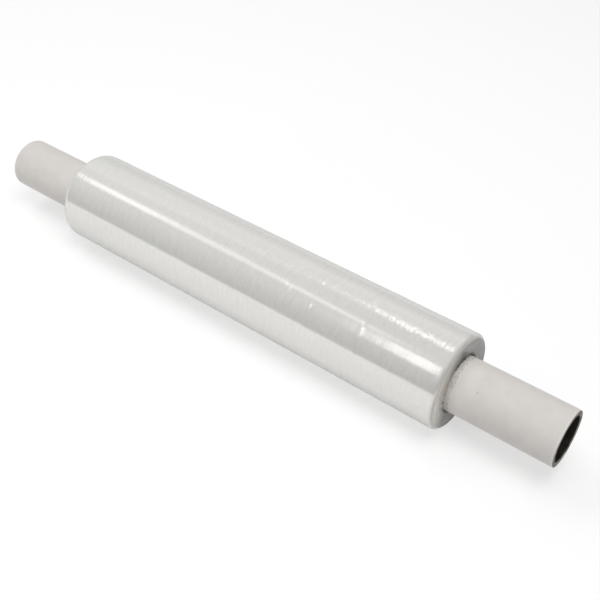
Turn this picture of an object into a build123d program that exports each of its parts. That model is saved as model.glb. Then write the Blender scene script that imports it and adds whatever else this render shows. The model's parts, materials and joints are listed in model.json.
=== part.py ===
"""Stretch wrap roll: clear film wound on a long paperboard tube, lying on its side.

Millimetres. +X runs along the roll's axis, +Z is up, and the origin is the middle of
the small flat spot that the film rests on. The tube stands out equally past both ends
of the film, as a pair of stubs to hold while wrapping.
"""

import os
from math import sqrt

from build123d import *

# Driving dimensions
film_width = 400.0  # length of the wound film along the axis
film_diameter = 81.6  # over the outermost turn
shoulder_right = 4.4  # rounding where the film's outer face meets its +X end face
shoulder_left = 5.7  # the same at the -X end, where the turns are wound less evenly
flat_spot_width = 11.0  # how far round the soft film settles flat under the roll's weight

tube_bore = 38.0  # inside diameter of the paperboard tube
tube_wall = 4.25
tube_length = 578.0
tube_rim_break = 0.4  # the saw leaves the tube's rims just off sharp

# Worked out from the driving dimensions
film_radius = film_diameter / 2
film_end = film_width / 2
tube_inner_radius = tube_bore / 2
tube_outer_radius = tube_inner_radius + tube_wall
tube_end = tube_length / 2
axis_height = sqrt(film_radius**2 - (flat_spot_width / 2) ** 2)

roll_axis = Axis((0, 0, axis_height), (1, 0, 0))
cross_section = Plane(origin=(0, 0, axis_height), x_dir=(0, 1, 0), z_dir=(1, 0, 0))
long_section = Plane(origin=(0, 0, axis_height), x_dir=(1, 0, 0), z_dir=(0, -1, 0))

# Paperboard tube: spiral plies glued into one piece and sawn to length
with BuildPart() as core_tube:
    with BuildSketch(cross_section.offset(-tube_end)):
        Circle(tube_outer_radius)
        Circle(tube_inner_radius, mode=Mode.SUBTRACT)
    extrude(amount=tube_length)
    chamfer(core_tube.edges().filter_by(GeomType.CIRCLE), length=tube_rim_break)

# Film: all the turns are one body wound straight on the tube, with rounded shoulders
with BuildPart() as film_roll:
    with BuildSketch(long_section):
        with BuildLine():
            turns = FilletPolyline(
                (-film_end, tube_outer_radius),
                (-film_end, film_radius),
                (film_end, film_radius),
                (film_end, tube_outer_radius),
                radius=[shoulder_left, shoulder_right],
            )
            Line(turns @ 1, turns @ 0)
        make_face()
    revolve(axis=roll_axis)
    # The flat spot: what would bulge below the floor is pressed level with it
    split(bisect_by=Plane.XY, keep=Keep.TOP)

core_tube.part.label = "core_tube"
film_roll.part.label = "film_roll"

os.makedirs("parts", exist_ok=True)
export_step(core_tube.part, "parts/core_tube.step")
export_step(film_roll.part, "parts/film_roll.step")
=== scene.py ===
import json
import math
import random

import bpy
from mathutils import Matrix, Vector


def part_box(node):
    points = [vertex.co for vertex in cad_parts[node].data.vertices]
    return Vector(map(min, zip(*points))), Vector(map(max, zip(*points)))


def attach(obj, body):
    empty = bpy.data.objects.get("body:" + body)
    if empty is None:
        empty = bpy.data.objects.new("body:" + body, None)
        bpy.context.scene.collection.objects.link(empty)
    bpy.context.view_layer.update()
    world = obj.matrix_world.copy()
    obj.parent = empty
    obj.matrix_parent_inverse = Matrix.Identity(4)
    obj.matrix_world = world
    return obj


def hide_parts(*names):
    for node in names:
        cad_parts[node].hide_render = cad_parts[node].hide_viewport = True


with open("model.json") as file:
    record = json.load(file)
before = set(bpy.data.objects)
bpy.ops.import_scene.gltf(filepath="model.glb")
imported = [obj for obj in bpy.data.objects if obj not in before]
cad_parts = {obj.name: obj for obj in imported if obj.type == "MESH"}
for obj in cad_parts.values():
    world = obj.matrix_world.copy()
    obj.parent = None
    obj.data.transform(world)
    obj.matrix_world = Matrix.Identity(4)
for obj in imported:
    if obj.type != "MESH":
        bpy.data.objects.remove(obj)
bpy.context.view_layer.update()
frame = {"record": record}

bl_info = {
    "name": "Stretch Wrap Roll",
    "version": (1, 0, 0),
    "blender": (4, 5, 0),
    "location": "3D View > Sidebar > Wrap Roll",
    "description": "Finishes a roll of stretch film on its paperboard tube and lights it in a plain studio",
    "category": "Object",
}

MM = 0.001
FILM_LOW, FILM_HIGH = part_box("film_roll")
TUBE_LOW, TUBE_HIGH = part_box("core_tube")
BORE = next(m for m in frame["record"]["mounts"] if m["name"] == "core_bore")
AXIS_Z = BORE["pos_m"][2]
BORE_RADIUS = BORE["dims"]["r_mm"] * MM
TUBE_RADIUS = (TUBE_HIGH.z - TUBE_LOW.z) / 2
FILM_RADIUS = FILM_HIGH.z - AXIS_Z
ROLL_CENTRE = Vector((0, 0, AXIS_Z))
# Points closer than this are one
SEAM_GAP = 0.001 * MM
# Edges that turn less than this are smoothed
SMOOTH_ANGLE = math.radians(35)

# Raised lines round the film where an edge or a wrinkle lies under the outer turns, in millimetres:
# place along the roll from its middle, height, half width
RIDGES = (
    (-194.5, 0.10, 1.2), (-190.6, 0.08, 1.2), (-186.6, 0.10, 1.3), (-182.4, 0.08, 1.2), (-178.2, 0.06, 1.2),
    (51.0, 0.06, 2.0), (75.0, 0.05, 1.6), (93.5, 0.03, 1.4), (124.5, 0.09, 2.4), (182.0, 0.01, 0.9),
    (186.4, 0.02, 0.8), (189.4, 0.025, 0.8), (191.8, 0.03, 0.7), (194.0, 0.03, 0.7),
)
# The right end face from the shoulder in to the tube, in millimetres: distance out from the tube, then
# how far back from the end. A lip, the stacked turns, a bunch of inner turns, and the gap at the tube
RIGHT_FACE = (
    (14.55, 0.15), (14.3, 0.2), (14.0, 0.35), (8.0, 0.5), (4.0, 0.7),
    (2.4, 0.8), (1.5, 0.4), (1.1, 0.3), (0.8, 1.4), (0.5, 3.0),
)
# How far apart single turn edges are modelled, and how far apart the rings of their colour lie
TURN_PITCH = 0.6 * MM

# Short creases in the outer turns, which raise the relief and are whitened as painted glints, in millimetres
# and degrees:
# place along the roll from its middle, place round it from the top towards -Y, half width, half length
CREASES_WITH_PAINTED_GLINTS = (
    (-196.0, 28.0, 1.0, 1.6), (-190.5, 2.0, 0.8, 3.2), (-188.5, 44.0, 0.8, 3.6), (-191.5, 41.0, 0.6, 2.4),
    (52.0, 3.0, 2.4, 3.6), (54.0, 36.0, 2.4, 4.4), (50.0, 31.0, 1.8, 3.0), (75.0, 11.0, 1.8, 2.6),
    (77.5, 41.0, 2.0, 3.4), (122.5, 4.0, 2.6, 4.2), (126.0, 9.0, 1.8, 3.0), (124.0, 33.0, 2.4, 4.6),
    (-150.0, 38.0, 0.9, 3.0), (-108.0, 36.0, 0.9, 2.6), (16.0, 36.0, 1.0, 3.4), (-12.5, 11.0, 0.8, 1.8),
    (155.0, 111.0, 1.4, 3.0), (101.0, 98.0, 1.6, 3.4), (24.0, 102.0, 1.2, 2.6),
)
# Other marked places, in the same units: place along, place round, half size along, round and outwards
LOOSE_PATCH = (160, 9, (52, 11, 11))
# The row of nicks raises the relief and is whitened as painted glints
NICK_ROW_WITH_PAINTED_GLINTS = (15, 8, (205, 4.5, 4.5))
PAPER_SPECK = (221.5, 42, (0.9, 1.3, 1.3))
# Patterns on the wound film, in millimetres: size along the roll and round it, then roughness and distortion
FINE_LINES = ((1.7, 9, 9), 0.6, 0.0)
SMEARS = ((5, 22, 22), 0.5, 0.5)
CRINKLES = ((3.0, 5, 5), 0.5, 0.0)
# How deep the film's relief is, in millimetres: fine lines, smears, crinkles of the loose patch, creases
RELIEF_DEPTHS = (0.010, 0.11, 0.25, 0.07)
# Colour of the stacked turn edges from the tube (0) to the shoulder (1), which has the film's own colour
# The darker colours towards the tube are painted shade in the corner, on top of the edges' own grey
EDGE_TONES_AND_PAINTED_SHADE = ((0.0, "#8A847C"), (0.35, "#AFACA5"), (0.8, "#C4C1BB"), (0.93, "#D0CDC7"))
# Painted glints: the colour that the creases and nicks are whitened towards
PAINTED_GLINT_COLOUR = "#FCFCFA"
FILM_GLOSS_TINT = "#B4B4B4"

# Lamps, in millimetres from the middle of the roll's axis. Panels hang level at one height: radiance,
# place x and y, size x and y, turn in degrees
PANEL_HEIGHT = 1500
PANELS = {
    "strip_left": (1.08, -1425, -408, 430, 350, 0),
    "strip_middle": (0.53, -1040, -426, 340, 350, 0),
    "strip_right": (0.64, -665, -526, 430, 225, -24),
    "strip_end": (0.35, -415, -570, 210, 90, 0),
    "back_lamp": (1.5, -378, 500, 500, 170, -62),
    "front_lamp": (1.55, -480, -1273, 235, 900, -13),
    "rear_box": (0.15, -1500, 1500, 3400, 2270, 0),
}
# Fills are square and face the roll through a diffuser, so the film mirrors no edge of theirs: radiance,
# place, size
FILLS = {
    "front_fill": (5.3, (350, -200, 1500), 900),
    "left_fill": (2.0, (-1100, 100, 1500), 1000),
    "low_fill": (2.3, (-900, -1700, 250), 1000),
}
# A small lamp out to the left that the left shoulder mirrors
GLINTS = {"side_lamp": (2.2, (-2230, 120, 600), 260)}
# The light tent: its radius in metres, and the way from the roll to its brightest part, above and behind
TENT_RADIUS = 9.0
TENT_BRIGHT_WAY = (0, 0.5, 0.866)
# The floor in metres: its size, and how far from the roll it starts to turn white and is white
FLOOR_SIZE = 12.0
FLOOR_WHITENS = (1.0, 2.5)
# The camera, in degrees and millimetres from the middle of the roll's axis
CAMERA_AZIMUTH, CAMERA_ELEVATION, CAMERA_DISTANCE = 41.107, 40.714, 804.94
CAMERA_AIM = (36.22, 13.31, -14.41)


# Sizes and colours ---------------------------------------------------------------------


class FilmSettings(bpy.types.PropertyGroup):
    shoulder_right: bpy.props.FloatProperty(
        name="Right shoulder", description="Rounding of the film's +X outer edge",
        default=4.4 * MM, unit="LENGTH", subtype="DISTANCE")
    shoulder_left: bpy.props.FloatProperty(
        name="Left shoulder", description="Rounding of the film's -X outer edge",
        default=5.7 * MM, unit="LENGTH", subtype="DISTANCE")
    band_height: bpy.props.FloatProperty(
        name="Gauge bands",
        description="How far thick and thin bands of film build up over the turns",
        default=0.05 * MM, unit="LENGTH", subtype="DISTANCE")
    ridge_room: bpy.props.FloatProperty(
        name="Ridge room", description="How far the wound surface lies below its largest diameter",
        default=0.08 * MM, unit="LENGTH", subtype="DISTANCE")
    collar_length: bpy.props.FloatProperty(
        name="Collar", description="How far the innermost turn creeps out along the tube",
        default=3.4 * MM, unit="LENGTH", subtype="DISTANCE")
    edge_play: bpy.props.FloatProperty(
        name="Edge play", description="How far turns lie in or out of line on the end faces",
        default=0.25 * MM, unit="LENGTH", subtype="DISTANCE")
    loose_from: bpy.props.FloatProperty(
        name="Loose bit from",
        description="Degrees from the top, towards -Y, where the crumpled bit starts",
        default=34.0)
    loose_over: bpy.props.FloatProperty(
        name="Loose bit over", description="Degrees round the tube that the crumpled bit covers",
        default=26.0)
    steps_round: bpy.props.IntProperty(
        name="Steps round", description="Faces round the roll", default=192, min=48)
    film_colour: bpy.props.StringProperty(
        name="Film", description="Colour of the wound film", default="#E6E5E1")
    # Painted light: the collar is coloured paler than the paper under it, against the shade of the end face
    collar_colour: bpy.props.StringProperty(
        name="Collar", description="Colour of the single clear turn over the tube's paper",
        default="#DEDAD6")
    # Painted light: the crumpled bit is coloured paler than the film, partly its own milky white and partly
    # standing in for its glints
    crumpled_colour: bpy.props.StringProperty(
        name="Crumpled bit", description="Colour of the crumpled bit at the right face",
        default="#F4F3F0")


class TubeSettings(bpy.types.PropertyGroup):
    rim_break: bpy.props.FloatProperty(
        name="Rim", description="How far the sawn rims are off sharp",
        default=0.4 * MM, unit="LENGTH", subtype="DISTANCE")
    steps_round: bpy.props.IntProperty(
        name="Steps round", description="Faces round the tube", default=160, min=48)
    liner_colour: bpy.props.StringProperty(
        name="Outer ply", description="Colour of the tube's outer paper", default="#D2CECA")
    board_colour: bpy.props.StringProperty(
        name="Chipboard", description="Colour of the plies where the tube is sawn", default="#938E86")
    # The inner ply's near-black is painted shade for the dark inside the bore
    bore_colour_painted_dark: bpy.props.StringProperty(
        name="Inner ply", description="Colour of the tube's innermost ply", default="#302D29")


class StudioSettings(bpy.types.PropertyGroup):
    floor_colour: bpy.props.StringProperty(
        name="Floor", description="Colour of the floor under the lamps", default="#F0F0F0")
    floor_seen: bpy.props.StringProperty(
        name="Floor in view", description="The part of the floor's colour that its shadow can darken",
        default="#ADADAD")
    floor_glow: bpy.props.FloatProperty(
        name="Floor glow", description="What the camera sees of the floor besides its lit colour",
        default=0.58)
    tent_bright: bpy.props.FloatProperty(
        name="Tent's bright part", description="Brightness of the tent above and behind the roll",
        default=0.56)
    tent_dim: bpy.props.FloatProperty(
        name="Tent's low front", description="Brightness of the tent low in front of the roll",
        default=0.23)
    tent_right: bpy.props.FloatProperty(
        name="Tent's right side", description="Share of the tent's brightness left on the +X side",
        default=0.3)
    lens: bpy.props.FloatProperty(
        name="Lens", description="Focal length on a 36 mm sensor", default=56.28)


# Modelling helpers ---------------------------------------------------------------------


def deselect():
    if bpy.context.object and bpy.context.object.mode != "OBJECT":
        bpy.ops.object.mode_set(mode="OBJECT")
    bpy.ops.object.select_all(action="DESELECT")


def spin_outline(name, outline, steps):
    """Spins a closed outline of (x, radius) points round the roll's axis."""
    deselect()
    x, radius = outline[0]
    bpy.ops.mesh.primitive_plane_add(size=MM, location=(x, 0, AXIS_Z + radius))
    piece = bpy.context.object
    piece.name = name
    bpy.ops.object.mode_set(mode="EDIT")
    bpy.ops.mesh.merge(type="CENTER")
    for next_x, next_radius in outline[1:] + outline[:1]:
        step = (next_x - x, 0, next_radius - radius)
        bpy.ops.mesh.extrude_vertices_move(TRANSFORM_OT_translate={"value": step})
        x, radius = next_x, next_radius
    bpy.ops.mesh.select_all(action="SELECT")
    bpy.ops.mesh.remove_doubles(threshold=SEAM_GAP)
    bpy.ops.mesh.spin(steps=steps, angle=math.tau, center=ROLL_CENTRE, axis=(1, 0, 0))
    bpy.ops.mesh.select_all(action="SELECT")
    bpy.ops.mesh.remove_doubles(threshold=SEAM_GAP)
    bpy.ops.mesh.normals_make_consistent(inside=False)
    bpy.ops.object.mode_set(mode="OBJECT")
    bpy.ops.object.transform_apply(location=True, rotation=True, scale=True)
    return piece


def arc(centre_x, centre_radius, size, start, end, count):
    """Points on an arc of the outline, by angle from the +X direction towards larger radius."""
    angles = [math.radians(start + (end - start) * i / count) for i in range(count + 1)]
    return [(centre_x + size * math.cos(a), centre_radius + size * math.sin(a)) for a in angles]


def select_vertices(piece, wanted):
    """Leaves the piece in edit mode with only the wanted vertices selected."""
    deselect()
    bpy.context.view_layer.objects.active = piece
    piece.select_set(True)
    bpy.ops.object.mode_set(mode="EDIT")
    bpy.ops.mesh.select_mode(type="VERT")
    bpy.ops.mesh.select_all(action="DESELECT")
    bpy.ops.object.mode_set(mode="OBJECT")
    for vertex in piece.data.vertices:
        vertex.select = wanted(vertex.co)
    bpy.ops.object.mode_set(mode="EDIT")


def displace(piece, name, size, depth, direction, group=""):
    """Moves a piece's surface by a soft cloud pattern of this feature size, half of depth each way."""
    deselect()
    bpy.context.view_layer.objects.active = piece
    piece.select_set(True)
    clouds = bpy.data.textures.new(name, type="CLOUDS")
    clouds.noise_scale = size
    clouds.noise_depth = 1
    bpy.ops.object.modifier_add(type="DISPLACE")
    modifier = piece.modifiers[-1]
    modifier.texture = clouds
    modifier.texture_coords = "LOCAL"
    modifier.strength = depth
    modifier.direction = direction
    modifier.vertex_group = group
    bpy.ops.object.modifier_apply(modifier=modifier.name)


def finish_piece(piece, materials):
    """Smooths a piece, gives it its materials, and joins it to the frame."""
    deselect()
    bpy.context.view_layer.objects.active = piece
    piece.select_set(True)
    bpy.ops.object.shade_smooth_by_angle(angle=SMOOTH_ANGLE)
    for material in materials:
        piece.data.materials.append(material)
    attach(piece, "root")


# Materials -----------------------------------------------------------------------------


def linear(colour):
    """An sRGB hex colour as linear RGBA, by the sRGB standard's own curve."""
    channels = [int(colour[i:i + 2], 16) / 255 for i in (1, 3, 5)]
    return [c / 12.92 if c <= 0.04045 else ((c + 0.055) / 1.055) ** 2.4 for c in channels] + [1.0]


def add_node(tree, kind, links=None, values=None, **settings):
    """Adds a node, with its settings, socket values and incoming links."""
    node = tree.nodes.new(kind)
    for key, value in settings.items():
        setattr(node, key, value)
    for socket, value in (values or {}).items():
        node.inputs[socket].default_value = value
    for socket, source in (links or {}).items():
        tree.links.new(source, node.inputs[socket])
    return node


def new_material(name):
    """A material and its node tree, left empty."""
    material = bpy.data.materials.new(name)
    material.use_nodes = True
    material.node_tree.nodes.clear()
    return material, material.node_tree


def seen_directly(tree):
    """1 for what the camera sees, also in a mirror or through glass, and 0 for what only lights things."""
    rays = add_node(tree, "ShaderNodeLightPath").outputs
    mirrored = add_node(tree, "ShaderNodeMath", {0: rays["Is Camera Ray"], 1: rays["Is Glossy Ray"]},
                        operation="ADD")
    seen = add_node(tree, "ShaderNodeMath", {0: mirrored.outputs[0], 1: rays["Is Transmission Ray"]},
                    operation="ADD", use_clamp=True)
    return seen.outputs[0]


def multiplied(tree, colour, factor):
    """A colour, given as a socket or a value, made lighter or darker by a pattern."""
    shade = add_node(tree, "ShaderNodeMix", {7: factor}, {0: 1.0}, data_type="RGBA", blend_type="MULTIPLY")
    if isinstance(colour, bpy.types.NodeSocket):
        tree.links.new(colour, shade.inputs[6])
    else:
        shade.inputs[6].default_value = colour
    return shade.outputs[2]


def on_roll(x_mm, degrees, radius):
    """A place from the middle of the roll: along its axis, and round it from the top towards -Y."""
    turned = math.radians(degrees)
    return Vector((x_mm * MM, -radius * math.sin(turned), radius * math.cos(turned)))


def spot(tree, place, radius, x_mm, degrees, half_size_mm):
    """1 round a place on the roll, falling to 0 at an ellipsoid of this half size."""
    offset = add_node(tree, "ShaderNodeVectorMath", {0: place}, {1: on_roll(x_mm, degrees, radius)},
                      operation="SUBTRACT")
    scaled = add_node(tree, "ShaderNodeVectorMath", {0: offset.outputs[0]}, {1: Vector(half_size_mm) * MM},
                      operation="DIVIDE")
    away = add_node(tree, "ShaderNodeVectorMath", {0: scaled.outputs[0]}, operation="LENGTH")
    return add_node(tree, "ShaderNodeMapRange", {"Value": away.outputs["Value"]},
                    {"From Min": 0.4, "From Max": 1.0, "To Min": 1.0, "To Max": 0.0}).outputs[0]


def per_size(x_mm, y_mm, z_mm):
    """Mapping scale for a pattern whose features measure this many millimetres."""
    return (1 / (x_mm * MM), 1 / (y_mm * MM), 1 / (z_mm * MM))


def film_patterns(tree, centred):
    """Fine drawn lines round the roll, broader smears where air lies between turns, and wrinkles."""
    patterns = []
    for size_mm, roughness, distortion in (FINE_LINES, SMEARS, CRINKLES):
        stretched = add_node(tree, "ShaderNodeMapping", {"Vector": centred}, {"Scale": per_size(*size_mm)})
        pattern = add_node(tree, "ShaderNodeTexNoise", {"Vector": stretched.outputs[0]},
                           {"Scale": 1.0, "Detail": 2.0, "Roughness": roughness, "Distortion": distortion})
        patterns.append(pattern.outputs[0])
    return patterns


def film_creases_and_glints(tree, centred, fine_lines, crinkles):
    """Creases and a row of nicks along the top, both broken by the fine lines: 1 where they raise the relief
    and are whitened as painted glints.
    """
    nicks = add_node(tree, "ShaderNodeMapRange", {"Value": crinkles}, {"From Min": 0.54, "From Max": 0.7})
    row = spot(tree, centred, FILM_RADIUS, *NICK_ROW_WITH_PAINTED_GLINTS)
    pressed = add_node(tree, "ShaderNodeMath", {0: nicks.outputs[0], 1: row}, operation="MULTIPLY").outputs[0]
    for x, degrees, half_width, half_length in CREASES_WITH_PAINTED_GLINTS:
        crease = spot(tree, centred, FILM_RADIUS, x, degrees, (half_width, half_length, half_length))
        pressed = add_node(tree, "ShaderNodeMath", {0: crease, 1: pressed}, operation="MAXIMUM").outputs[0]
    breaks = add_node(tree, "ShaderNodeMapRange", {"Value": fine_lines},
                      {"From Min": 0.35, "From Max": 0.6, "To Min": 0.2, "To Max": 1.0}).outputs[0]
    return add_node(tree, "ShaderNodeMath", {0: pressed, 1: breaks}, operation="MULTIPLY").outputs[0]


def film_relief(tree, heights):
    """Bumps of the film, one on another."""
    normal = None
    for height, depth in zip(heights, RELIEF_DEPTHS):
        bump = add_node(tree, "ShaderNodeBump", {"Height": height}, {"Strength": 1.0, "Distance": depth * MM})
        if normal:
            tree.links.new(normal, bump.inputs["Normal"])
        normal = bump.outputs[0]
    return normal


def film_shade(tree, centred, on_end, colour):
    """Milky film on the round, and on the ends the stacked turn edges, painted darker towards the tube as
    shade in the corner and painted brighter on the front side as a glow.
    """
    across = add_node(tree, "ShaderNodeVectorMath", {0: centred}, {1: (0, 1, 1)}, operation="MULTIPLY")
    radius = add_node(tree, "ShaderNodeVectorMath", {0: across.outputs[0]},
                      operation="LENGTH").outputs["Value"]
    depth = add_node(tree, "ShaderNodeMapRange", {"Value": radius},
                     {"From Min": TUBE_RADIUS, "From Max": FILM_RADIUS - 0.5 * MM})
    # Painted shade: the edge colours darken towards the tube, where the corner lies in shade
    edges = add_node(tree, "ShaderNodeValToRGB", {"Fac": depth.outputs[0]})
    for position, _ in EDGE_TONES_AND_PAINTED_SHADE[1:]:
        edges.color_ramp.elements.new(position)
    for element, (position, edge_colour) in zip(edges.color_ramp.elements, EDGE_TONES_AND_PAINTED_SHADE + ((1.0, colour),)):
        element.position = position
        element.color = linear(edge_colour)
    # Single turn edges show as lighter and darker rings, broken along their way
    ring_place = add_node(tree, "ShaderNodeCombineXYZ", {"X": radius})
    ring_break = add_node(tree, "ShaderNodeVectorMath", {0: centred}, {1: (0.1, 0.1, 0.1)},
                          operation="MULTIPLY")
    ring_vector = add_node(tree, "ShaderNodeVectorMath", {0: ring_place.outputs[0], 1: ring_break.outputs[0]},
                           operation="ADD")
    rings = add_node(tree, "ShaderNodeTexNoise", {"Vector": ring_vector.outputs[0]},
                     {"Scale": 1 / TURN_PITCH, "Detail": 2.0})
    ring_tint = add_node(tree, "ShaderNodeMapRange", {"Value": rings.outputs[0]},
                         {"From Min": 0.3, "From Max": 0.7, "To Min": 0.82, "To Max": 1.12})
    # Painted glow and shade: light entering the roll's front would come out of the end on that side, so the
    # end face's colour is painted brighter at its front and darker at its back
    forwards = add_node(tree, "ShaderNodeVectorMath", {0: centred}, {1: on_roll(0, 70, 1)},
                        operation="DOT_PRODUCT")
    front = add_node(tree, "ShaderNodeMath", {0: forwards.outputs["Value"], 1: radius}, operation="DIVIDE")
    glow = add_node(tree, "ShaderNodeMapRange", {"Value": front.outputs[0]},
                    {"From Min": 0.35, "From Max": 1.0, "To Min": 0.55, "To Max": 1.95})
    rings_and_painted_glow = add_node(tree, "ShaderNodeMath", {0: ring_tint.outputs[0], 1: glow.outputs[0]},
                         operation="MULTIPLY")
    inside = add_node(tree, "ShaderNodeMapRange", {"Value": radius},
                      {"From Min": FILM_RADIUS - 4.5 * MM, "From Max": FILM_RADIUS - 2.0 * MM,
                       "To Min": 1.0, "To Max": 0.0})
    face = add_node(tree, "ShaderNodeMath", {0: on_end, 1: inside.outputs[0]}, operation="MULTIPLY")
    tint = add_node(tree, "ShaderNodeMix", {0: face.outputs[0], 3: rings_and_painted_glow.outputs[0]}, {2: 1.0})
    return multiplied(tree, edges.outputs[0], tint.outputs[0])


def film_material(colour):
    """Clear blown film in many turns: milky silver, with a soft gloss drawn round the roll."""
    material, tree = new_material("wound_polyethylene_film")
    place = add_node(tree, "ShaderNodeTexCoord").outputs["Object"]
    centred = add_node(tree, "ShaderNodeVectorMath", {0: place}, {1: ROLL_CENTRE},
                       operation="SUBTRACT").outputs[0]
    fine_lines, smears, crinkles = film_patterns(tree, centred)
    creases = film_creases_and_glints(tree, centred, fine_lines, crinkles)
    # A loosely laid patch near the right end, on top
    loose = spot(tree, centred, FILM_RADIUS, *LOOSE_PATCH)
    loose_crinkles = add_node(tree, "ShaderNodeMath", {0: crinkles, 1: loose}, operation="MULTIPLY")
    relief = film_relief(tree, (fine_lines, smears, loose_crinkles.outputs[0], creases))
    # Where air parts the turns the film turns silver, and mirrors more of the room
    silver = add_node(tree, "ShaderNodeMapRange", {"Value": fine_lines},
                      {"From Min": 0.3, "From Max": 0.7, "To Min": 0.475, "To Max": 0.405})
    # On the ends the cut film scatters light instead of mirroring it
    along = add_node(tree, "ShaderNodeSeparateXYZ", {"Vector": centred}).outputs["X"]
    outwards = add_node(tree, "ShaderNodeMath", {0: along}, operation="ABSOLUTE")
    on_end = add_node(tree, "ShaderNodeMapRange", {"Value": outwards.outputs[0]},
                      {"From Min": FILM_HIGH.x - 3.0 * MM, "From Max": FILM_HIGH.x - 0.8 * MM}).outputs[0]
    mirroring = add_node(tree, "ShaderNodeMix", {0: on_end, 2: silver.outputs[0]}, {3: 0.06})
    # Painted glints: the creases and nicks whiten the film's colour
    painted_glints = add_node(tree, "ShaderNodeMath", {0: creases}, {1: 0.6}, operation="MULTIPLY")
    shade = add_node(tree, "ShaderNodeMix",
                     {0: painted_glints.outputs[0], 6: film_shade(tree, centred, on_end, colour)},
                     {7: linear(PAINTED_GLINT_COLOUR)}, data_type="RGBA")
    shader = add_node(tree, "ShaderNodeBsdfPrincipled",
                      {"Base Color": shade.outputs[2], "Metallic": mirroring.outputs[0], "Normal": relief},
                      {"Roughness": 0.16, "Specular Tint": linear(FILM_GLOSS_TINT)})
    add_node(tree, "ShaderNodeOutputMaterial", {"Surface": shader.outputs[0]})
    return material


def clinging_material(name, colour, roughness):
    """A single clear turn, blotched where it sticks, under a gloss, in a colour painted paler than the paper
    under it as painted light.
    """
    material, tree = new_material(name)
    place = add_node(tree, "ShaderNodeTexCoord").outputs["Object"]
    blotches = add_node(tree, "ShaderNodeTexNoise", {"Vector": place},
                        {"Scale": 1 / (2.2 * MM), "Detail": 1.0})
    tint = add_node(tree, "ShaderNodeMapRange", {"Value": blotches.outputs[0]},
                    {"From Min": 0.5, "From Max": 0.62, "To Min": 1.0, "To Max": 0.8})
    shade = multiplied(tree, linear(colour), tint.outputs[0])
    shader = add_node(tree, "ShaderNodeBsdfPrincipled", {"Base Color": shade}, {"Roughness": roughness})
    add_node(tree, "ShaderNodeOutputMaterial", {"Surface": shader.outputs[0]})
    return material


def liner_material(colour):
    """Recycled white-lined paper: matte, faintly pink grey, clouded by the pulp's uneven formation."""
    material, tree = new_material("grey_paper_liner")
    place = add_node(tree, "ShaderNodeTexCoord").outputs["Object"]
    clouds = add_node(tree, "ShaderNodeTexNoise", {"Vector": place},
                      {"Scale": 1 / (9 * MM), "Detail": 4.0, "Roughness": 0.6})
    fibres = add_node(tree, "ShaderNodeTexNoise", {"Vector": place},
                      {"Scale": 1 / (0.7 * MM), "Detail": 3.0, "Roughness": 0.7})
    tint = add_node(tree, "ShaderNodeMapRange", {"Value": clouds.outputs[0]},
                    {"From Min": 0.3, "From Max": 0.7, "To Min": 0.965, "To Max": 1.02})
    # The paper is frayed lighter along its sawn edges, and has one small grey speck near the film
    centred = add_node(tree, "ShaderNodeVectorMath", {0: place}, {1: ROLL_CENTRE},
                       operation="SUBTRACT").outputs[0]
    along = add_node(tree, "ShaderNodeSeparateXYZ", {"Vector": centred}).outputs["X"]
    reach = add_node(tree, "ShaderNodeMath", {0: along}, operation="ABSOLUTE")
    frayed = add_node(tree, "ShaderNodeMapRange", {"Value": reach.outputs[0]},
                      {"From Min": TUBE_HIGH.x - 2.2 * MM, "From Max": TUBE_HIGH.x - 0.4 * MM,
                       "To Min": 1.0, "To Max": 1.12})
    near_speck = spot(tree, centred, TUBE_RADIUS, *PAPER_SPECK)
    speck = add_node(tree, "ShaderNodeMapRange", {"Value": near_speck}, {"To Min": 1.0, "To Max": 0.78})
    # Painted light: beside the right face the paper is painted paler, to make up for the shadow that the film
    # drops on it
    past_face = add_node(tree, "ShaderNodeMath", {0: along}, {1: FILM_HIGH.x}, operation="SUBTRACT")
    from_face = add_node(tree, "ShaderNodeMath", {0: past_face.outputs[0]}, operation="ABSOLUTE")
    paler = add_node(tree, "ShaderNodeMapRange", {"Value": from_face.outputs[0]},
                     {"From Min": 3 * MM, "From Max": 22 * MM, "To Min": 1.26, "To Max": 1.0})
    shade = linear(colour)
    for factor in (tint, frayed, speck, paler):
        shade = multiplied(tree, shade, factor.outputs[0])
    bump = add_node(tree, "ShaderNodeBump", {"Height": fibres.outputs[0]},
                    {"Strength": 0.6, "Distance": 0.05 * MM})
    shader = add_node(tree, "ShaderNodeBsdfPrincipled", {"Base Color": shade, "Normal": bump.outputs[0]},
                      {"Roughness": 0.75, "IOR": 1.45})
    add_node(tree, "ShaderNodeOutputMaterial", {"Surface": shader.outputs[0]})
    return material


def board_material(name, colour):
    """Chipboard in the given colour: dull and coarse, flecked with chips and patches."""
    material, tree = new_material(name)
    place = add_node(tree, "ShaderNodeTexCoord").outputs["Object"]
    chips = add_node(tree, "ShaderNodeTexNoise", {"Vector": place},
                     {"Scale": 1 / (0.9 * MM), "Detail": 4.0, "Roughness": 0.7})
    tint = add_node(tree, "ShaderNodeMapRange", {"Value": chips.outputs[0]},
                    {"From Min": 0.3, "From Max": 0.7, "To Min": 0.75, "To Max": 1.2})
    patches = add_node(tree, "ShaderNodeTexNoise", {"Vector": place}, {"Scale": 1 / (7 * MM), "Detail": 2.0})
    patched = add_node(tree, "ShaderNodeMapRange", {"Value": patches.outputs[0]},
                       {"From Min": 0.35, "From Max": 0.65, "To Min": 0.6, "To Max": 1.3})
    chipped = multiplied(tree, linear(colour), tint.outputs[0])
    shade = multiplied(tree, chipped, patched.outputs[0])
    bump = add_node(tree, "ShaderNodeBump", {"Height": chips.outputs[0]},
                    {"Strength": 1.0, "Distance": 0.12 * MM})
    shader = add_node(tree, "ShaderNodeBsdfPrincipled", {"Base Color": shade, "Normal": bump.outputs[0]},
                      {"Roughness": 0.9, "IOR": 1.45})
    add_node(tree, "ShaderNodeOutputMaterial", {"Surface": shader.outputs[0]})
    return material


# Pieces --------------------------------------------------------------------------------


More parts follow.
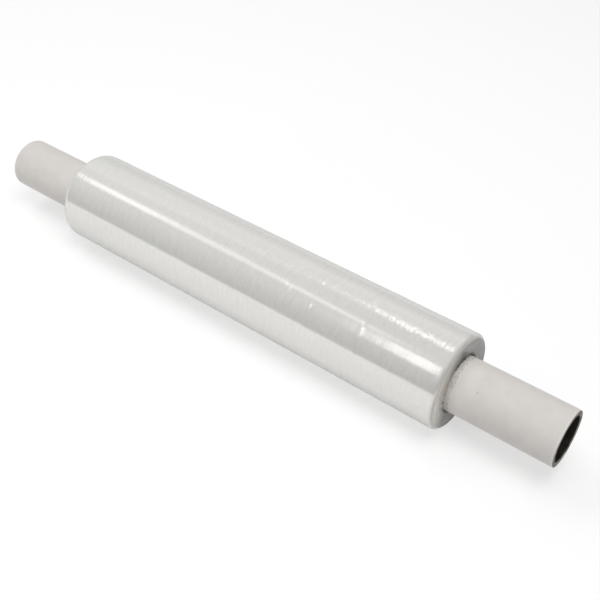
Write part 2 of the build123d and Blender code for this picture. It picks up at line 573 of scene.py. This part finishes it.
class WRAP_OT_film(bpy.types.Operator):
    """Models the wound film, its two collars on the tube and the crumpled bit at its right face"""

    bl_idname = "wrap.film"
    bl_label = "Wound Film"

    def execute(self, context):
        film = context.scene.wrap_film
        piece = spin_outline("film_turns", self.outline(film), film.steps_round)
        self.settle(piece)
        select_vertices(piece, lambda co: co.z < FILM_LOW.z)
        bpy.ops.transform.resize(value=(1, 1, 0), center_override=(0, 0, FILM_LOW.z))
        bpy.ops.object.mode_set(mode="OBJECT")
        finish_piece(piece, [film_material(film.film_colour)])
        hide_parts("film_roll")
        clinging = clinging_material("clinging_polyethylene_film", film.collar_colour, 0.4)
        crumpled = clinging_material("crumpled_polyethylene_film", film.crumpled_colour, 0.2)
        collars = (("film_collar_right", FILM_HIGH.x, 1), ("film_collar_left", FILM_LOW.x, -1))
        for name, face_x, side in collars:
            finish_piece(self.collar(film, name, face_x, side), [clinging])
        finish_piece(self.loose_end(film), [crumpled])
        return {"FINISHED"}

    def outline(self, film):
        """The half section, from the left end face over the top and down the right one."""
        left, right = FILM_LOW.x, FILM_HIGH.x
        band_count, steps_along, left_turns = 7, 170, 22
        # A fixed seed winds the same film on every run
        chance = random.Random(11)
        waves = [(chance.uniform(22, 90) * MM, chance.uniform(0, math.tau)) for _ in range(band_count)]
        ridges = [(place * MM, height * MM, width * MM) for place, height, width in RIDGES]

        def surface(x):
            wave = sum(math.sin(math.tau * x / length + phase) for length, phase in waves)
            raised = sum(height * math.exp(-((x - place) / width) ** 2) for place, height, width in ridges)
            return FILM_RADIUS - film.band_height * (1 + wave / len(waves)) - film.ridge_room + raised

        def turn_edges(low, high, count):
            """Turn edges from one radius to another, each a little out of line: how far back, radius."""
            return [(chance.uniform(0, film.edge_play), low + (high - low) * i / count)
                    for i in range(count + 1)]

        start, stop = left + film.shoulder_left, right - film.shoulder_right
        xs = [start + (stop - start) * i / steps_along for i in range(1, steps_along)]
        xs += [place + width * spread / 2 for place, _, width in ridges for spread in range(-4, 5)]
        left_edges = turn_edges(TUBE_RADIUS, FILM_RADIUS - film.shoulder_left, left_turns)
        outline = [(left + back, radius) for back, radius in left_edges]
        outline += arc(start, surface(start) - film.shoulder_left, film.shoulder_left, 180, 90, 14)[1:]
        outline += [(x, surface(x)) for x in sorted(xs) if start < x < stop]
        outline += arc(stop, surface(stop) - film.shoulder_right, film.shoulder_right, 90, 20, 12)
        face = [(back * MM, TUBE_RADIUS + out * MM) for out, back in RIGHT_FACE]
        for (back, radius), (next_back, next_radius) in zip(face, face[1:]):
            turns = max(1, round((radius - next_radius) / TURN_PITCH))
            for i in range(turns):
                play = chance.uniform(0, film.edge_play) if turns > 1 else 0
                outline.append((right - back - (next_back - back) * i / turns - play,
                                radius + (next_radius - radius) * i / turns))
        gap_back, gap_radius = face[-1]
        return outline + [(right - gap_back, gap_radius), (right - gap_back, TUBE_RADIUS)]

    def settle(self, piece):
        """The end turns wander along the axis on their way round, and the innermost ones are crumpled."""
        skin, wander_reach, wander_fade = 1.0 * MM, 30 * MM, 10 * MM
        bunch_low, bunch_high = TUBE_RADIUS + 0.6 * MM, TUBE_RADIUS + 2.6 * MM
        wander = piece.vertex_groups.new(name="end_turns")
        crumple = piece.vertex_groups.new(name="inner_turns")
        for vertex in piece.data.vertices:
            out = math.hypot(vertex.co.y, vertex.co.z - AXIS_Z)
            inset = min(vertex.co.x - FILM_LOW.x, FILM_HIGH.x - vertex.co.x)
            if out > FILM_RADIUS - skin and inset < wander_reach:
                wander.add([vertex.index], min(1.0, (wander_reach - inset) / wander_fade), "REPLACE")
            if bunch_low < out < bunch_high and vertex.co.x > 0:
                crumple.add([vertex.index], 1.0, "REPLACE")
        displace(piece, "wandering_turns", 24 * MM, 1.4 * MM, "X", "end_turns")
        displace(piece, "crumpled_turns", 2.2 * MM, 2.6 * MM, "X", "inner_turns")
        displace(piece, "soft_winding", 55 * MM, 0.2 * MM, "NORMAL")

    def loose_end(self, film):
        """A crumpled bit of the innermost turn, caught in the corner between the end face and the tube."""
        start = math.radians(film.loose_from)
        corner_x, radius = FILM_HIGH.x + 1.4 * MM, TUBE_RADIUS + 0.55 * MM
        # The strip stands up from the paper in a few short steps, leaning back towards the end face
        step_count, step_length, lean = 5, 0.34 * MM, -0.25
        deselect()
        bpy.ops.mesh.primitive_plane_add(size=MM, location=(0, 0, 0))
        piece = bpy.context.object
        piece.name = "loose_film_end"
        bpy.ops.object.mode_set(mode="EDIT")
        bpy.ops.mesh.merge(type="CENTER")
        corner = (corner_x, -radius * math.sin(start), AXIS_Z + radius * math.cos(start))
        bpy.ops.transform.translate(value=corner)
        outwards = Vector((lean, -math.sin(start), math.cos(start))) * step_length
        for _ in range(step_count):
            bpy.ops.mesh.extrude_vertices_move(TRANSFORM_OT_translate={"value": outwards})
        bpy.ops.mesh.select_all(action="SELECT")
        bpy.ops.mesh.spin(steps=30, angle=math.radians(film.loose_over), center=ROLL_CENTRE, axis=(1, 0, 0))
        bpy.ops.mesh.select_all(action="SELECT")
        bpy.ops.mesh.remove_doubles(threshold=SEAM_GAP)
        bpy.ops.object.mode_set(mode="OBJECT")
        bpy.ops.object.modifier_add(type="SOLIDIFY")
        piece.modifiers[-1].thickness = 0.12 * MM
        bpy.ops.object.modifier_apply(modifier=piece.modifiers[-1].name)
        displace(piece, "crumples", 1.1 * MM, 1.7 * MM, "RGB_TO_XYZ")
        return piece

    def collar(self, film, name, face_x, side):
        """The innermost turn, clinging to the tube past the end face with a torn edge."""
        inner, outer = TUBE_RADIUS + 0.03 * MM, TUBE_RADIUS + 0.16 * MM
        # As far under the wound film as out past its end face
        half_steps = 8
        steps = range(-half_steps, half_steps + 1)
        reach = [face_x + side * film.collar_length * i / half_steps for i in steps]
        outline = [(x, outer) for x in reach] + [(x, inner) for x in reversed(reach)]
        piece = spin_outline(name, outline if side > 0 else outline[::-1], film.steps_round)
        torn = piece.vertex_groups.new(name="torn_edge")
        for vertex in piece.data.vertices:
            past = side * (vertex.co.x - face_x) / film.collar_length
            if past > 0:
                torn.add([vertex.index], past, "REPLACE")
        displace(piece, "torn_edge", 2.4 * MM, 3.6 * MM, "X", "torn_edge")
        displace(piece, "loose_wrinkles", 1.6 * MM, 0.7 * MM, "NORMAL", "torn_edge")
        return piece


class WRAP_OT_tube(bpy.types.Operator):
    """Models the paperboard tube: outer ply, sawn rims and bore"""

    bl_idname = "wrap.tube"
    bl_label = "Paperboard Tube"

    def execute(self, context):
        tube = context.scene.wrap_tube
        left, right, cut = TUBE_LOW.x, TUBE_HIGH.x, tube.rim_break
        lengths = 20
        inner_xs = [left + (right - left) * i / lengths for i in range(1, lengths)]
        outline = [(left, BORE_RADIUS + cut), (left, TUBE_RADIUS - cut), (left + cut, TUBE_RADIUS)]
        outline += [(x, TUBE_RADIUS) for x in inner_xs]
        outline += [(right - cut, TUBE_RADIUS), (right, TUBE_RADIUS - cut), (right, BORE_RADIUS + cut)]
        outline += [(right - cut, BORE_RADIUS)]
        outline += [(x, BORE_RADIUS) for x in reversed(inner_xs)]
        outline += [(left + cut, BORE_RADIUS)]
        piece = spin_outline("paperboard_tube", outline, tube.steps_round)
        finish_piece(piece, [
            liner_material(tube.liner_colour),
            board_material("sawn_grey_chipboard", tube.board_colour),
            board_material("bore_ply_painted_shade", tube.bore_colour_painted_dark)])
        # The sawn wall and the rim of the bore show chipboard, and the bore its inner ply, painted near black
        # as the shade inside it
        outer_ply, sawn, painted_dark_bore = range(3)
        middle = (TUBE_RADIUS + BORE_RADIUS) / 2
        for face in piece.data.polygons:
            radius = math.hypot(face.center.y, face.center.z - AXIS_Z)
            facing_along = abs(face.normal.x)
            if radius < middle and facing_along < 0.5:
                face.material_index = painted_dark_bore
            elif facing_along > 0.9 or radius < middle:
                face.material_index = sawn
            else:
                face.material_index = outer_ply
        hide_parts("core_tube")
        return {"FINISHED"}


class WRAP_OT_studio(bpy.types.Operator):
    """Sets up the floor, the light tent, the sky, the lamps and the camera"""

    bl_idname = "wrap.studio"
    bl_label = "Studio"

    def execute(self, context):
        studio = context.scene.wrap_studio
        scene = context.scene
        scene.view_settings.view_transform = "Standard"
        self.floor(studio)
        self.tent(studio)
        self.sky()
        for name, (radiance, x, y, size_x, size_y, turn) in PANELS.items():
            lamp = self.lamp(name, radiance, Vector((x, y, PANEL_HEIGHT)), size_x, size_y)
            lamp.rotation_euler = (0, 0, math.radians(turn))
        for name, (radiance, place, size) in FILLS.items():
            self.facing_lamp(name, radiance, Vector(place), size).visible_glossy = False
        for name, (radiance, place, size) in GLINTS.items():
            self.facing_lamp(name, radiance, Vector(place), size)
        self.camera(studio)
        return {"FINISHED"}

    def floor(self, studio):
        """A matte floor, white in view except for the roll's shadow."""
        deselect()
        bpy.ops.mesh.primitive_plane_add(size=FLOOR_SIZE, location=(0, 0, 0))
        floor = bpy.context.object
        floor.name = "floor"
        material, tree = new_material("matte_white_floor")
        seen = seen_directly(tree)
        # Well past the roll's shadow the floor turns as white as the sky behind it
        near, far = FLOOR_WHITENS
        place = add_node(tree, "ShaderNodeTexCoord").outputs["Object"]
        away = add_node(tree, "ShaderNodeVectorMath", {0: place}, operation="LENGTH").outputs["Value"]
        level = add_node(tree, "ShaderNodeMapRange", {"Value": away},
                         {"From Min": near, "From Max": far, "To Min": studio.floor_glow, "To Max": 1.0})
        glow = add_node(tree, "ShaderNodeMath", {0: seen, 1: level.outputs[0]}, operation="MULTIPLY")
        tone = add_node(tree, "ShaderNodeMix", {0: seen}, data_type="RGBA")
        tone.inputs[6].default_value = linear(studio.floor_colour)
        tone.inputs[7].default_value = linear(studio.floor_seen)
        lit = add_node(tree, "ShaderNodeBsdfDiffuse", {"Color": tone.outputs[2]})
        glowing = add_node(tree, "ShaderNodeEmission", {"Strength": glow.outputs[0]})
        both = add_node(tree, "ShaderNodeAddShader", {0: lit.outputs[0], 1: glowing.outputs[0]})
        add_node(tree, "ShaderNodeOutputMaterial", {"Surface": both.outputs[0]})
        floor.data.materials.append(material)

    def tent(self, studio):
        """A diffusing tent far round the roll, out of the picture: it lights the film, which mirrors it."""
        deselect()
        bpy.ops.mesh.primitive_uv_sphere_add(
            radius=TENT_RADIUS, segments=64, ring_count=32, location=(0, 0, 0))
        tent = bpy.context.object
        tent.name = "light_tent"
        tent.visible_camera = False
        material, tree = new_material("tent_cloth")
        place = add_node(tree, "ShaderNodeTexCoord").outputs["Object"]
        direction = add_node(tree, "ShaderNodeVectorMath", {0: place}, operation="NORMALIZE").outputs[0]
        height = add_node(tree, "ShaderNodeVectorMath", {0: direction}, {1: TENT_BRIGHT_WAY},
                          operation="DOT_PRODUCT").outputs["Value"]
        level = add_node(tree, "ShaderNodeMapRange", {"Value": height},
                         {"From Min": -0.35, "From Max": 0.3,
                          "To Min": studio.tent_dim, "To Max": studio.tent_bright})
        # The wall behind the roll is a little brighter
        sides = add_node(tree, "ShaderNodeSeparateXYZ", {"Vector": direction})
        wall = add_node(tree, "ShaderNodeMapRange", {"Value": sides.outputs["Y"]},
                        {"From Min": 0.55, "From Max": 0.8, "To Min": 0.0, "To Max": 0.16})
        walled = add_node(tree, "ShaderNodeMath", {0: level.outputs[0], 1: wall.outputs[0]}, operation="ADD")
        # The right side is dimmer
        dimming = add_node(tree, "ShaderNodeMapRange", {"Value": sides.outputs["X"]},
                           {"From Min": -0.65, "From Max": 0.5, "To Min": 1.0, "To Max": studio.tent_right})
        strength = add_node(tree, "ShaderNodeMath", {0: walled.outputs[0], 1: dimming.outputs[0]},
                            operation="MULTIPLY")
        light = add_node(tree, "ShaderNodeEmission", {"Strength": strength.outputs[0]})
        add_node(tree, "ShaderNodeOutputMaterial", {"Surface": light.outputs[0]})
        tent.data.materials.append(material)

    def sky(self):
        """White past the floor and the tent, and no light from it on the roll."""
        world = bpy.data.worlds.new("white_sky")
        bpy.context.scene.world = world
        world.use_nodes = True
        tree = world.node_tree
        tree.nodes.clear()
        white = add_node(tree, "ShaderNodeBackground", {"Strength": seen_directly(tree)},
                         {"Color": (1, 1, 1, 1)})
        add_node(tree, "ShaderNodeOutputWorld", {"Surface": white.outputs[0]})

    def lamp(self, name, radiance, place, size_x, size_y):
        """A panel of this radiance, placed and sized in millimetres from the middle of the roll's axis."""
        deselect()
        bpy.ops.object.light_add(type="AREA", location=place * MM + ROLL_CENTRE)
        lamp = bpy.context.object
        lamp.name = name
        lamp.data.shape = "RECTANGLE"
        lamp.data.size, lamp.data.size_y = size_x * MM, size_y * MM
        lamp.data.energy = radiance * math.pi * lamp.data.size * lamp.data.size_y
        return lamp

    def facing_lamp(self, name, radiance, place, size):
        """A square panel that faces the roll."""
        lamp = self.lamp(name, radiance, place, size, size)
        lamp.rotation_euler = place.to_track_quat("Z", "Y").to_euler()
        return lamp

    def camera(self, studio):
        """Places the camera and aims it."""
        azimuth, elevation = math.radians(CAMERA_AZIMUTH), math.radians(CAMERA_ELEVATION)
        back = Vector((math.sin(azimuth) * math.cos(elevation),
                       -math.cos(azimuth) * math.cos(elevation), math.sin(elevation)))
        place = ROLL_CENTRE + back * (CAMERA_DISTANCE * MM)
        aim = ROLL_CENTRE + Vector(CAMERA_AIM) * MM
        deselect()
        bpy.ops.object.camera_add(location=place, rotation=(aim - place).to_track_quat("-Z", "Y").to_euler())
        camera = bpy.context.object
        camera.name = "camera"
        camera.data.lens = studio.lens
        camera.data.sensor_width = 36.0
        camera.data.clip_start = 10 * MM
        bpy.context.scene.camera = camera


class WRAP_PT_panel(bpy.types.Panel):
    """Lists the steps that make the roll"""

    bl_idname = "WRAP_PT_panel"
    bl_label = "Stretch Wrap Roll"
    bl_space_type = "VIEW_3D"
    bl_region_type = "UI"
    bl_category = "Wrap Roll"

    def draw(self, context):
        steps = (("wrap_tube", "wrap.tube"), ("wrap_film", "wrap.film"), ("wrap_studio", "wrap.studio"))
        for settings, operator in steps:
            box = self.layout.box()
            group = getattr(context.scene, settings)
            for name in group.bl_rna.properties.keys():
                if name not in ("rna_type", "name"):
                    box.prop(group, name)
            box.operator(operator)


CLASSES = (
    FilmSettings, TubeSettings, StudioSettings,
    WRAP_OT_film, WRAP_OT_tube, WRAP_OT_studio, WRAP_PT_panel,
)


def register():
    for cls in CLASSES:
        bpy.utils.register_class(cls)
    bpy.types.Scene.wrap_film = bpy.props.PointerProperty(type=FilmSettings)
    bpy.types.Scene.wrap_tube = bpy.props.PointerProperty(type=TubeSettings)
    bpy.types.Scene.wrap_studio = bpy.props.PointerProperty(type=StudioSettings)


def unregister():
    del bpy.types.Scene.wrap_studio
    del bpy.types.Scene.wrap_tube
    del bpy.types.Scene.wrap_film
    for cls in reversed(CLASSES):
        bpy.utils.unregister_class(cls)


def main():
    register()
    bpy.ops.wrap.studio()
    bpy.ops.wrap.tube()
    bpy.ops.wrap.film()


if __name__ == "__main__":
    main()
